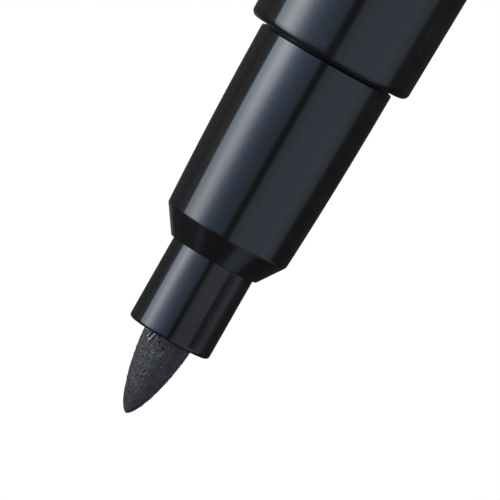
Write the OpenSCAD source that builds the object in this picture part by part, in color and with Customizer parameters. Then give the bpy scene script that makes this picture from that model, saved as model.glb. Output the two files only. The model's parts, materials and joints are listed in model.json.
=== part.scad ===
// Large-format brush pen with a capillary ink reservoir, standing on its posted cap.
// The pen's axis is Z. The cap's closed end lies on Z = 0 and the brush nib points up.

/* [Barrel] */
// Length of the barrel between its two shoulders
barrel_len = 66; // [60:1:80]
// Diameter of the barrel's straight middle stretch
barrel_d = 16; // [15.6:0.1:17]
// Diameter of the barrel at either shoulder, and of the cap's mouth
shoulder_d = 15.1; // [15:0.1:15.5]
// Length over which the barrel swells from a shoulder to its middle
barrel_taper_len = 24; // [20:1:29]
// Diameter of the barrel's inside, behind the seat for the grip section
barrel_bore_d = 12.8; // [12.6:0.1:13]
// Radius of the rounded edge at each end of the barrel
barrel_edge_r = 0.6; // [0.2:0.05:0.6]
// Number of ribs inside the barrel that centre the reservoir
barrel_ribs = 6; // [4:1:8]

/* [Grip section] */
// Length of the grip section that shows between the barrel and the cone
section_len = 17.1; // [15:0.1:20]
// Diameter of the grip section next to the barrel
section_d = 12.55; // [12.45:0.05:12.6]
// Diameter of the grip section where the cone begins
section_small_d = 11.5; // [11.2:0.1:11.8]
// Width of the open seam between the barrel and the grip section
seam = 0.25; // [0.1:0.05:0.3]
// Length of the cone between the grip section and the collar
cone_len = 2.3; // [2:0.1:3]
// Diameter of the cone's small end
cone_small_d = 8.42; // [8.1:0.02:8.6]
// Length of the collar that holds the nib
collar_len = 7.76; // [7:0.02:9]
// Outside diameter of the collar
collar_d = 7.68; // [7.4:0.02:7.8]
// Diameter of the spigot that presses into the barrel
spigot_d = 11.3; // [11.2:0.05:11.4]
// Length of that spigot
spigot_len = 12; // [10:0.5:14]

/* [Nib and ink] */
// Diameter of the brush nib
nib_d = 4.43; // [4.2:0.01:4.5]
// Length of the nib that stands out of the collar
nib_out = 7.36; // [6.8:0.02:8]
// Length of the nib's pointed end
nib_point_len = 7.2; // [6:0.1:7.5]
// Whole length of the reversible nib, pointed at both ends
nib_len = 26; // [25:0.5:27]
// Outside diameter of the reservoir with its film
reservoir_d = 9.8; // [9.6:0.05:9.8]
// Thickness of the film round the reservoir
film_t = 0.15; // [0.1:0.05:0.2]

/* [Tail] */
// Length of the tail that the cap is posted on
tail_len = 15; // [14:0.5:16]
// Diameter of the tail
tail_d = 12.5; // [12.4:0.05:12.5]

/* [Cap] */
// Length of the cap
cap_len = 43; // [43:0.5:46]
// Diameter of the cap at its closed end
cap_end_d = 14.1; // [13.8:0.1:14.5]
// Diameter of the cap's mouth bore, which slides over the tail or the grip section
cap_bore_d = 12.62; // [12.62:0.02:12.7]
// Width of the pocket clip
clip_w = 4.2; // [3.6:0.1:4.6]
// Length of the clip's blade above its root
clip_len = 29; // [25:0.5:31]
// Thickness of the clip's blade
clip_t = 1.2; // [1:0.1:1.4]

/* [Hidden] */
$fn = 96;

gloss_black = [0.10, 0.11, 0.13];
felt_grey = [0.22, 0.21, 0.23];
ink_black = [0.13, 0.13, 0.15];
film_clear = [0.75, 0.78, 0.80, 0.5];
liner_grey = [0.45, 0.46, 0.48];

fit = 0.02;                                   // radial gap of a pressed joint
slip = 0.05;                                  // radial gap of a sliding joint
post_gap = 0.2;                               // between the posted cap's mouth and the rear shoulder

rear_z = cap_len + post_gap;                  // rear shoulder of the barrel
front_z = rear_z + barrel_len;                // front shoulder of the barrel
section_z = front_z + seam;                   // edge of the grip section next to the barrel
cone_z = section_z + section_len;
collar_z = cone_z + cone_len;
mouth_z = collar_z + collar_len;              // open end of the collar
tip_z = mouth_z + nib_out;
nib_tail_z = tip_z - nib_len;

collar_edge_r = 0.32;
cone_edge_r = 0.25;
collar_bore_d = 6;
section_bore_d = reservoir_d + 2 * slip;
seat_z = cone_z - 0.2;                        // inner shoulder that the nib holder's flange meets
flange_t = 1;                                 // thickness of that flange
snap_z = front_z - 8;                         // snap bead on the spigot
snap_h = 0.12;
stop_depth = 0.3;                             // how deep the seam is, down to the section's stop ring

tail_z = rear_z - tail_len;                   // closed end of the tail
tail_edge_r = 0.8;
tail_floor = 1.2;
plug_flange_d = 13.6;
plug_flange_t = 1.2;
plug_depth = 8;                               // how far the tail plug reaches into the barrel
fin_h = 1;                                    // fins under the reservoir

reservoir_z0 = tail_z + tail_floor + fin_h;
reservoir_z1 = seat_z - flange_t - 0.3;

cap_edge_r = 0.8;
cap_mouth_r = 0.3;
liner_d = 11.4;
liner_bore_d = 8.6;
liner_lip_d = collar_d + 2 * slip;
liner_flange_t = 0.8;
liner_top_z = cap_len - (collar_z - front_z) - 0.2;
liner_step_z = liner_top_z - liner_flange_t;
liner_z0 = 6.2;
liner_floor = 1;
end_disc_d = 11.6;
end_disc_t = 1.4;
end_spigot_d = 10.2;
end_spigot_top = 5.6;
end_spigot_wall = 1.1;

clip_pivot = [6.2, 4.1];                      // x and z of the bead at the clip's root
bead_r = 0.7;
neck_t = 0.8;
slot_h = 1.25;
clip_lift = 0.95;                             // free height under the blade
clip_top_z = clip_pivot[1] + clip_len;
clip_r = cap_end_d / 2 + clip_lift + clip_t;  // outer face of the blade, curved round the pen's axis
bump_r = 3;
bump_gap = 0.06;

// Points of an arc about [x, y], from angle a0 to a1
function arc(x, y, r, a0, a1, n = 6) =
    [for (i = [0:n]) let (a = a0 + (a1 - a0) * i / n) [x + r * cos(a), y + r * sin(a)]];

// Height of a smooth curve from a to b at t from 0 to 1, leaving a with slope m and reaching b level
function ease(a, b, m, t) =
    a * (2 * t^3 - 3 * t^2 + 1) + m * (t^3 - 2 * t^2 + t) + b * (3 * t^2 - 2 * t^3);

// Radius of the barrel at a distance from either shoulder
shoulder_slope = 0.021;
function barrel_r(d) =
    ease(shoulder_d / 2, barrel_d / 2, shoulder_slope * barrel_taper_len, d / barrel_taper_len);

// Radius of the grip section at a distance from the barrel: a long shallow arc
section_slope = 0.0085;
function section_r(d) = section_d / 2 - section_slope * d
    - (section_d / 2 - section_small_d / 2 - section_slope * section_len) * (d / section_len)^2;

// Radius of the cap at height z: full at the mouth, drawn in towards the closed end
cap_draw = 1.8;
function cap_r(z) = shoulder_d / 2 - (shoulder_d - cap_end_d) / 2 * (1 - z / cap_len)^cap_draw;

// Outline of a nib's pointed end: [radius, distance from the point], for a shaft of radius r and a point of length l
nib_fullness = 1.4;
nib_bluntness = 0.6;
function nib_point(r, l, n = 16) =
    [for (i = [0:n]) let (t = (i / n)^1.8) [r * (1 - (1 - t)^nib_fullness)^nib_bluntness, l * t]];

module turned(points) rotate_extrude() polygon(points);

module barrel() {
    r_end = shoulder_d / 2;
    steps = 12;
    swell = [for (i = [1:steps]) let (d = barrel_taper_len * i / steps) [barrel_r(d), d]];
    seat_r = spigot_d / 2 + fit;
    bore_r = barrel_bore_d / 2;
    step_z = front_z - spigot_len - 0.5;
    outside = concat(
        arc(r_end - barrel_edge_r, rear_z + barrel_edge_r, barrel_edge_r, -90, 0),
        [for (p = swell) [p[0], rear_z + p[1]]],
        [for (i = [steps - 1:-1:0]) [swell[i][0], front_z - swell[i][1]]],
        arc(r_end - barrel_edge_r, front_z - barrel_edge_r, barrel_edge_r, 0, 90));
    inside = [
        [seat_r + 0.15, front_z], [seat_r, front_z - 0.15],
        [seat_r, snap_z + 0.5], [seat_r + snap_h, snap_z + 0.3],
        [seat_r + snap_h, snap_z - 0.3], [seat_r, snap_z - 0.5],
        [seat_r, step_z + bore_r - seat_r], [bore_r, step_z],
        [bore_r, rear_z + plug_flange_t], [plug_flange_d / 2, rear_z + plug_flange_t],
        [plug_flange_d / 2, rear_z]
    ];
    rib_z0 = rear_z + plug_depth + 4;
    rib_t = 0.9;
    rib_r = reservoir_d / 2 + slip;
    color(gloss_black) {
        turned(concat(outside, inside));
        for (i = [0:barrel_ribs - 1])
            rotate([0, 0, 360 * i / barrel_ribs])
                translate([rib_r, -rib_t / 2, rib_z0])
                    cube([bore_r - rib_r + 0.3, rib_t, step_z - 1 - rib_z0]);
    }
}

module grip_section() {
    spigot_r = spigot_d / 2;
    steps = 10;
    cone_r = section_small_d / 2;
    cone_slant = atan2(cone_r - cone_small_d / 2, cone_len);
    outside = concat(
        [[spigot_r - 0.3, front_z - spigot_len], [spigot_r, front_z - spigot_len + 0.3],
         [spigot_r, snap_z - 0.5], [spigot_r + snap_h, snap_z - 0.25],
         [spigot_r + snap_h, snap_z + 0.25], [spigot_r, snap_z + 0.5],
         [spigot_r, front_z], [section_d / 2 - stop_depth, front_z],
         [section_d / 2 - stop_depth, section_z]],
        [for (i = [0:steps - 1]) let (d = section_len * i / steps) [section_r(d), section_z + d]],
        arc(cone_r - cone_edge_r, cone_z - cone_edge_r / 2, cone_edge_r, 0, cone_slant, 3),
        [[cone_small_d / 2, collar_z - 0.08], [cone_small_d / 2 - 0.06, collar_z],
         [collar_d / 2, collar_z]],
        arc(collar_d / 2 - collar_edge_r, mouth_z - collar_edge_r, collar_edge_r, 0, 90));
    inside = [
        [collar_bore_d / 2 + 0.2, mouth_z], [collar_bore_d / 2, mouth_z - 0.2],
        [collar_bore_d / 2, seat_z], [section_bore_d / 2, seat_z],
        [section_bore_d / 2, front_z - spigot_len]
    ];
    color(gloss_black) turned(concat(outside, inside));
}

module nib_holder() {
    sleeve_r = collar_bore_d / 2 - fit;
    channel_r = sleeve_r - 0.42;
    guide_r = nib_d / 2 + slip;
    guide_len = 9;
    ribs = 6;
    rib_t = 0.6;
    top_z = mouth_z - 0.5;
    base_z = seat_z - flange_t;
    color(ink_black) difference() {
        union() {
            difference() {
                union() {
                    translate([0, 0, base_z]) cylinder(r = sleeve_r, h = top_z - base_z);
                    translate([0, 0, base_z]) cylinder(d = section_bore_d - 2 * fit, h = flange_t - fit);
                }
                translate([0, 0, base_z - 1]) cylinder(r = channel_r, h = top_z - base_z + 2);
            }
            for (i = [0:ribs - 1])
                rotate([0, 0, 360 * i / ribs])
                    translate([guide_r - 0.2, -rib_t / 2, top_z - guide_len])
                        cube([channel_r - guide_r + 0.4, rib_t, guide_len]);
        }
        translate([0, 0, base_z - 1]) cylinder(r = guide_r, h = top_z - base_z + 2);
        for (i = [0:ribs / 2 - 1])
            rotate([0, 0, 360 * (i + 0.25) / (ribs / 2)])
                translate([channel_r + 0.6, -0.6, base_z - 1])
                    cube([section_bore_d, 1.2, flange_t + 2 - fit - 1]);
    }
}

module brush_nib() {
    point = nib_point(nib_d / 2, nib_point_len);
    n = len(point);
    color(felt_grey) turned(concat(
        [for (p = point) [p[0], nib_tail_z + p[1]]],
        [for (i = [n - 1:-1:0]) [point[i][0], tip_z - point[i][1]]]));
}

module reservoir_core() {
    core_r = reservoir_d / 2 - film_t;
    socket_r = nib_d / 2 + 2 * slip;
    socket_z = nib_tail_z - 3 * slip;
    over_z = max(reservoir_z1, socket_z + nib_point_len) + 1;
    color(ink_black) difference() {
        translate([0, 0, reservoir_z0]) cylinder(r = core_r, h = reservoir_z1 - reservoir_z0);
        turned(concat(
            [for (p = nib_point(socket_r, nib_point_len)) [p[0], socket_z + p[1]]],
            [[socket_r, over_z], [0, over_z]]));
    }
}

module reservoir_film() {
    color(film_clear) difference() {
        translate([0, 0, reservoir_z0])
            cylinder(d = reservoir_d, h = reservoir_z1 - reservoir_z0);
        translate([0, 0, reservoir_z0 - 1])
            cylinder(d = reservoir_d - 2 * film_t, h = reservoir_z1 - reservoir_z0 + 2);
    }
}

module tail_plug() {
    tail_r = tail_d / 2;
    inner_r = reservoir_d / 2 + 3 * slip;
    plug_r = barrel_bore_d / 2 - fit;
    floor_z = tail_z + tail_floor;
    fins = 4;
    mark_r = 2.5;
    mark_depth = 0.3;
    shell = concat(
        [[0, tail_z + mark_depth], [mark_r, tail_z + mark_depth], [mark_r, tail_z]],
        arc(tail_r - tail_edge_r, tail_z + tail_edge_r, tail_edge_r, -90, 0),
        [[tail_r, rear_z], [plug_flange_d / 2 - fit, rear_z],
         [plug_flange_d / 2 - fit, rear_z + plug_flange_t - fit],
         [plug_r, rear_z + plug_flange_t - fit], [plug_r, rear_z + plug_depth - 0.4],
         [plug_r - 0.4, rear_z + plug_depth], [inner_r, rear_z + plug_depth],
         [inner_r, floor_z], [0, floor_z]]);
    color(gloss_black) {
        turned(shell);
        for (i = [0:fins - 1])
            rotate([0, 0, 360 * i / fins])
                translate([1.5, -0.4, floor_z - 0.2]) cube([inner_r - 1.2, 0.8, fin_h + 0.2 - fit]);
    }
}

module cap_shell() {
    bore_r = cap_bore_d / 2;
    steps = 12;
    z0 = cap_edge_r;
    z1 = cap_len - cap_mouth_r;
    end_r = cap_r(z0);
    outside = concat(
        arc(end_r - cap_edge_r, cap_edge_r, cap_edge_r, -90, 0),
        [for (i = [1:steps]) let (z = z0 + (z1 - z0) * i / steps) [cap_r(z), z]],
        arc(cap_r(z1) - cap_mouth_r, z1, cap_mouth_r, 15, 90, 4));
    inside = [
        [bore_r + 0.3, cap_len], [bore_r, cap_len - 0.3],
        [bore_r, liner_step_z], [liner_d / 2 + fit, liner_step_z],
        [liner_d / 2 + fit, liner_z0 - 0.3], [end_spigot_d / 2 + fit, liner_z0 - 0.3],
        [end_spigot_d / 2 + fit, end_disc_t], [end_disc_d / 2 + fit, end_disc_t],
        [end_disc_d / 2 + fit, 0]
    ];
    color(gloss_black) difference() {
        turned(concat(outside, inside));
        translate([clip_pivot[0], 0, clip_pivot[1]]) {
            rotate([90, 0, 0]) cylinder(r = bead_r + slip, h = clip_w + 4 * slip, center = true);
            translate([0, -clip_w / 2 - 2 * slip, -slot_h / 2]) cube([3, clip_w + 4 * slip, slot_h]);
        }
    }
}

module inner_cap() {
    shell = [
        [0, liner_z0], [liner_d / 2 - 0.5, liner_z0], [liner_d / 2, liner_z0 + 0.5],
        [liner_d / 2, liner_step_z + fit], [cap_bore_d / 2 - slip, liner_step_z + fit],
        [cap_bore_d / 2 - slip, liner_top_z], [liner_bore_d / 2 + 0.3, liner_top_z],
        [liner_lip_d / 2, liner_top_z - 0.8], [liner_lip_d / 2, liner_top_z - 1.4],
        [liner_bore_d / 2, liner_top_z - 2.4], [liner_bore_d / 2, liner_z0 + liner_floor + 2],
        [liner_bore_d / 2 - 2, liner_z0 + liner_floor], [0, liner_z0 + liner_floor]
    ];
    flutes = 4;
    flute_w = 1.6;
    flute_depth = 0.5;
    color(liner_grey) difference() {
        turned(shell);
        for (i = [0:flutes - 1])
            rotate([0, 0, 45 + 360 * i / flutes])
                translate([liner_d / 2 - flute_depth, -flute_w / 2, liner_z0 - 1])
                    cube([3, flute_w, liner_top_z - liner_z0 + 2]);
    }
}

module cap_end_plug() {
    spigot_r = end_spigot_d / 2;
    shell = [
        [0, 0], [end_disc_d / 2 - 0.15, 0], [end_disc_d / 2, 0.15],
        [end_disc_d / 2, end_disc_t - fit], [spigot_r, end_disc_t - fit],
        [spigot_r, end_spigot_top - 0.3], [spigot_r - 0.3, end_spigot_top],
        [spigot_r - end_spigot_wall, end_spigot_top], [spigot_r - end_spigot_wall, end_disc_t],
        [0, end_disc_t]
    ];
    vents = 3;
    vent_r = 0.6;
    vent_pcd = 6;
    color(gloss_black) difference() {
        turned(shell);
        for (i = [0:vents - 1])
            rotate([0, 0, 60 + 360 * i / vents])
                translate([vent_pcd / 2, 0, -1]) cylinder(r = vent_r, h = end_disc_t + 2);
    }
}

// The clip's side view in X and Z, up to the curved outer face
module clip_outline() {
    x_in = clip_r - clip_t;
    z_lo = clip_pivot[1] - neck_t / 2;
    bump_z = clip_top_z - 2.4;
    bump_x = cap_r(bump_z) + bump_gap + bump_r;
    half = acos((bump_x - x_in) / bump_r);
    bump = [for (p = arc(bump_x, bump_z, bump_r, 180 + half, 180 - half, 8)) p];
    translate(clip_pivot) circle(r = bead_r);
    polygon(concat(
        [[clip_pivot[0], z_lo + neck_t], [clip_pivot[0], z_lo]],
        arc(clip_r - 2, z_lo + 2, 2, -90, 0),
        [[clip_r, clip_top_z], [x_in + 0.3, clip_top_z], [x_in, clip_top_z - 0.3]],
        [for (i = [len(bump) - 1:-1:0]) bump[i]],
        arc(x_in - 0.6, z_lo + neck_t + 0.6, 0.6, 0, -90, 4)));
}

module pocket_clip() {
    half_w = clip_w / 2;
    color(gloss_black) intersection() {
        rotate([90, 0, 0]) linear_extrude(clip_w, center = true) clip_outline();
        cylinder(r = clip_r, h = clip_top_z + 1);
        rotate([90, 0, 90]) linear_extrude(clip_r + 1) union() {
            translate([-half_w, 0]) square([clip_w, clip_top_z - half_w]);
            translate([0, clip_top_z - half_w]) circle(r = half_w);
        }
    }
}

barrel();
grip_section();
nib_holder();
brush_nib();
reservoir_core();
reservoir_film();
tail_plug();
cap_shell();
inner_cap();
cap_end_plug();
pocket_clip();
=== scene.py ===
import json
import math
import random

import bmesh
import bpy
from mathutils import Matrix, Vector, noise


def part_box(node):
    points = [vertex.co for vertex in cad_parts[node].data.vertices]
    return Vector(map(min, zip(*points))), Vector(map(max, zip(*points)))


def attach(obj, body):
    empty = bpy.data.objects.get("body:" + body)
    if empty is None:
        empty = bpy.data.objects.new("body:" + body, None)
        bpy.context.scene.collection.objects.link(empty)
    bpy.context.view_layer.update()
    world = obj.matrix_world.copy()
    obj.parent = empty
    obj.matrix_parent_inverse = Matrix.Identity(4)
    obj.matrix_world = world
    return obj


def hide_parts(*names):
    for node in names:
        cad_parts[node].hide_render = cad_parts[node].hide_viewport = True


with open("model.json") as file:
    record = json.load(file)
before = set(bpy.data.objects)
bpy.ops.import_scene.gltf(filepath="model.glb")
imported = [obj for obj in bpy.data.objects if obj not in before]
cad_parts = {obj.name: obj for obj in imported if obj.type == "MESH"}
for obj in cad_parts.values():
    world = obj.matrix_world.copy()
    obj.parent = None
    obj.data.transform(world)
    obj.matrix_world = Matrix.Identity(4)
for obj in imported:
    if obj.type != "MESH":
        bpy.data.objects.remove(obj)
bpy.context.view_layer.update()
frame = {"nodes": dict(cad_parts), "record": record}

MM = 0.001
scene = bpy.context.scene
record = frame["record"]

# ---------------------------------------------------------------- places taken from the frame, in mm


def low_high(node):
    """The two corners of a CAD node's box, in mm."""
    low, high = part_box(node)
    return low / MM, high / MM


barrel_low, barrel_high = low_high("barrel")
grip_low, grip_high = low_high("grip_section")
nib_low, nib_high = low_high("brush_nib")
liner_low, liner_high = low_high("inner_cap")
cap_high = low_high("cap_shell")[1]
disc_high = low_high("cap_end_plug")[1]
clip_high = low_high("pocket_clip")[1]
tail_low = low_high("tail_plug")[0]
mounts = {mount["name"]: mount for mount in record["mounts"]}
joints = {joint["name"]: joint for joint in record["behaviour"]["joints"]}

REAR_Z = barrel_low.z              # the barrel's two shoulders
FRONT_Z = barrel_high.z
BARREL_R = barrel_high.x
SPIGOT_END_Z = grip_low.z
MOUTH_Z = grip_high.z              # open end of the collar
SECTION_R = grip_high.x
COLLAR_R = mounts["collar_pin"]["dims"]["r_mm"]
NIB_TAIL_Z = nib_low.z
NIB_TIP_Z = nib_high.z
NIB_R = nib_high.x
CAP_MOUTH_Z = cap_high.z
CLIP_PIVOT = Vector(joints["clip_flex"]["pos_m"]) / MM
CLIP_R = clip_high.x               # the blade's outer face, curved round the pen's axis
CLIP_HALF_W = clip_high.y
CLIP_TOP_Z = clip_high.z
TAIL_Z = tail_low.z                # closed end of the tail

# Shape of the turned parts, as in the CAD model
SHOULDER_R = 7.55
SHOULDER_SLOPE = 0.021
SWELL_LEN = 24
BARREL_EDGE = 0.6
BARREL_BORE_R = 6.4
SPIGOT_R = 5.65
SNAP_BELOW = 8                     # snap bead below the barrel's front shoulder
SNAP_H = 0.12
SNAP_FLAT = 0.25                   # from the bead's middle to the end of its flat, and of its foot
SNAP_FOOT = 0.5
SEAM = 0.25
SEAM_DEPTH = 0.3
SECTION_SLOPE = 0.0085
SECTION_END_R = 5.75
SECTION_EDGE = 0.08
CONE_EDGE = 0.45
CONE_END_R = 4.21
CONE_LEN = 2.3
COLLAR_LEN = 7.76
COLLAR_EDGE = 0.32
COLLAR_BORE_R = 3
SECTION_BORE_R = 4.95
HOLDER_SEAT = 0.2                  # inner shoulder for the nib holder, below the cone
PLUG_SEAT_R = 6.8
PLUG_SEAT = 1.2
FIT = 0.02
SLIP = 0.05
NIB_POINT = 7.2
NIB_FULLNESS = 1.4
NIB_BLUNTNESS = 0.6
CAP_DRAW = 0.5                     # how much narrower the cap is at its closed end
CAP_DRAW_POWER = 1.8
CAP_EDGE = 0.8
CAP_MOUTH_EDGE = 0.3
CAP_BORE_R = 6.31
LINER_R = 5.7
LINER_FLANGE = 0.8
END_SPIGOT_R = 5.1
END_DISC = 1.4
TAIL_R = 6.25
TAIL_EDGE = 0.8
TAIL_BORE_R = 5.05
TAIL_FLOOR = 1.2
PLUG_DEPTH = 8
BEAD_R = 0.7                       # bead at the clip's root
BEAD_EDGE = 0.15
NECK = 0.8                         # thickness of the clip's neck
SLOT_H = 1.25                      # height of the slot that the neck leaves by
CLIP_T = 1.2
CLIP_EDGE = 0.28
BEND_OUT_R = 2
BEND_IN_R = 0.6
BUMP_R = 3
BUMP_BELOW = 2.4                   # from the blade's top down to the bump's middle
BUMP_GAP = 0.06
LEAD_IN = 0.3                      # bevel at the end of a spigot or bore
BITE = 0.3                         # how far a rib or fin reaches into the wall it stands on
CRISP = 0.03                       # roundings of the small edges, from the sharpest to the softest
NEAT = 0.04
SOFT = 0.05

SECTION_Z = FRONT_Z + SEAM
SNAP_Z = FRONT_Z - SNAP_BELOW
COLLAR_Z = MOUTH_Z - COLLAR_LEN
CONE_Z = COLLAR_Z - CONE_LEN

# The camera looks at the nib end from the -Y side, a little from below, with the nib down and to the left.
CAMERA_DISTANCE = 600
CAMERA_BEHIND_TIP = 56.17          # how far behind the nib's tip the camera stands
AIM_BEHIND_TIP = 17.27
AIM_SIDE = -2.32
AXIS_LEAN = math.radians(29.7)     # between the picture's upright and the pen's axis
FIELD = 42.4                       # width of the view at the pen

# ---------------------------------------------------------------- mesh helpers


def rounded(corners, steps=10, guard=0.05):
    """An outline through (radius, height, rounding) corners, with an arc wherever the rounding isn't 0.

    A long stretch gets a point near each end where the outline bends, so that smooth shading bends only
    there.
    """
    outline = []
    count = len(corners)
    for i, (r, z, rounding) in enumerate(corners):
        here = Vector((r, z))
        if not rounding:
            outline.append(here)
            continue
        back = (Vector(corners[i - 1][:2]) - here).normalized()
        ahead = (Vector(corners[(i + 1) % count][:2]) - here).normalized()
        half = back.angle(ahead) / 2
        centre = here + (back + ahead).normalized() * rounding / math.sin(half)
        first = here + back * rounding / math.tan(half) - centre
        last = here + ahead * rounding / math.tan(half) - centre
        sweep = first.angle_signed(last)
        outline += [centre + Matrix.Rotation(-sweep * k / steps, 2) @ first for k in range(steps + 1)]
    straight = math.radians(1)
    count = len(outline)
    ways = [(outline[(i + 1) % count] - outline[i]).normalized() for i in range(count)]
    bends = [ways[i - 1].angle(ways[i]) > straight for i in range(count)]
    guarded = []
    for i, here in enumerate(outline):
        after = outline[(i + 1) % count]
        guarded.append(here)
        if (after - here).length > 4 * guard and max(here.x, after.x) > 0:
            if bends[i]:
                guarded.append(here + ways[i] * guard)
            if bends[(i + 1) % count]:
                guarded.append(after - ways[i] * guard)
    return guarded


def turned(outline, around=256, bend=None):
    """A mesh of a closed outline in mm, turned round the pen's axis. bend(x, y, z) may move a point."""
    bm = bmesh.new()
    circle = [(math.cos(math.tau * i / around), math.sin(math.tau * i / around)) for i in range(around)]
    rings = []
    for r, z in outline:
        if r < 1e-6:
            rings.append([bm.verts.new((0, 0, z * MM))] * around)
            continue
        points = [Vector((r * c, r * s, z)) for c, s in circle]
        if bend:
            points = [bend(point) for point in points]
        rings.append([bm.verts.new(point * MM) for point in points])
    for ring, after in zip(rings, rings[1:] + rings[:1]):
        for i in range(around):
            j = (i + 1) % around
            corners = list(dict.fromkeys((ring[i], ring[j], after[j], after[i])))
            if len(corners) > 2:
                bm.faces.new(corners)
    return bm


def block(bm, low, high, turn):
    """Adds a box between two corners in mm, turned about the pen's axis."""
    size = Vector(high) - Vector(low)
    place = (Matrix.Rotation(turn, 4, "Z") @ Matrix.Translation((Vector(low) + size / 2) * MM)
             @ Matrix.Diagonal((*(size * MM), 1)))
    bmesh.ops.create_cube(bm, size=1, matrix=place)


def combined(bm, tool, operation):
    """A new mesh in the making: bm with the tool cut out of it (DIFFERENCE) or joined to it (UNION)."""
    pair = []
    for name, source in (("target", bm), ("cutter", tool)):
        bmesh.ops.recalc_face_normals(source, faces=source.faces)
        mesh = bpy.data.meshes.new(name)
        source.to_mesh(mesh)
        source.free()
        pair.append(bpy.data.objects.new(name, mesh))
        scene.collection.objects.link(pair[-1])
    target, cutter = pair
    boolean = target.modifiers.new("combined", "BOOLEAN")
    boolean.object = cutter
    boolean.operation = operation
    boolean.solver = "EXACT"
    result = bmesh.new()
    result.from_object(target, bpy.context.evaluated_depsgraph_get())
    for made in pair:
        bpy.data.meshes.remove(made.data)
    return result


def lofted(rings):
    """A closed mesh through rings of points in mm, each with as many points as the next."""
    bm = bmesh.new()
    made = [[bm.verts.new(point * MM) for point in ring] for ring in rings]
    for ring, after in zip(made, made[1:]):
        for i in range(len(ring)):
            j = (i + 1) % len(ring)
            bm.faces.new((ring[i], ring[j], after[j], after[i]))
    bm.faces.new(made[0])
    bm.faces.new(made[-1])
    return bm


def piece(name, bm, finish, body, stands_for=None, sharp=28, inner=None):
    """Turns a mesh in the making into a piece that rides on a body and may stand for a CAD node.

    inner is (material, test): the faces whose middle passes the test take that material instead.
    """
    bmesh.ops.recalc_face_normals(bm, faces=bm.faces)
    mesh = bpy.data.meshes.new(name)
    bm.to_mesh(mesh)
    bm.free()
    mesh.materials.append(finish)
    if inner:
        mesh.materials.append(inner[0])
        for face in mesh.polygons:
            face.material_index = int(inner[1](face.center / MM))
    mesh.shade_smooth()
    mesh.set_sharp_from_angle(angle=math.radians(sharp))
    made = bpy.data.objects.new(name, mesh)
    scene.collection.objects.link(made)
    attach(made, body)
    if stands_for:
        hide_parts(stands_for)
    return made


# ---------------------------------------------------------------- node helpers


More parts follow.
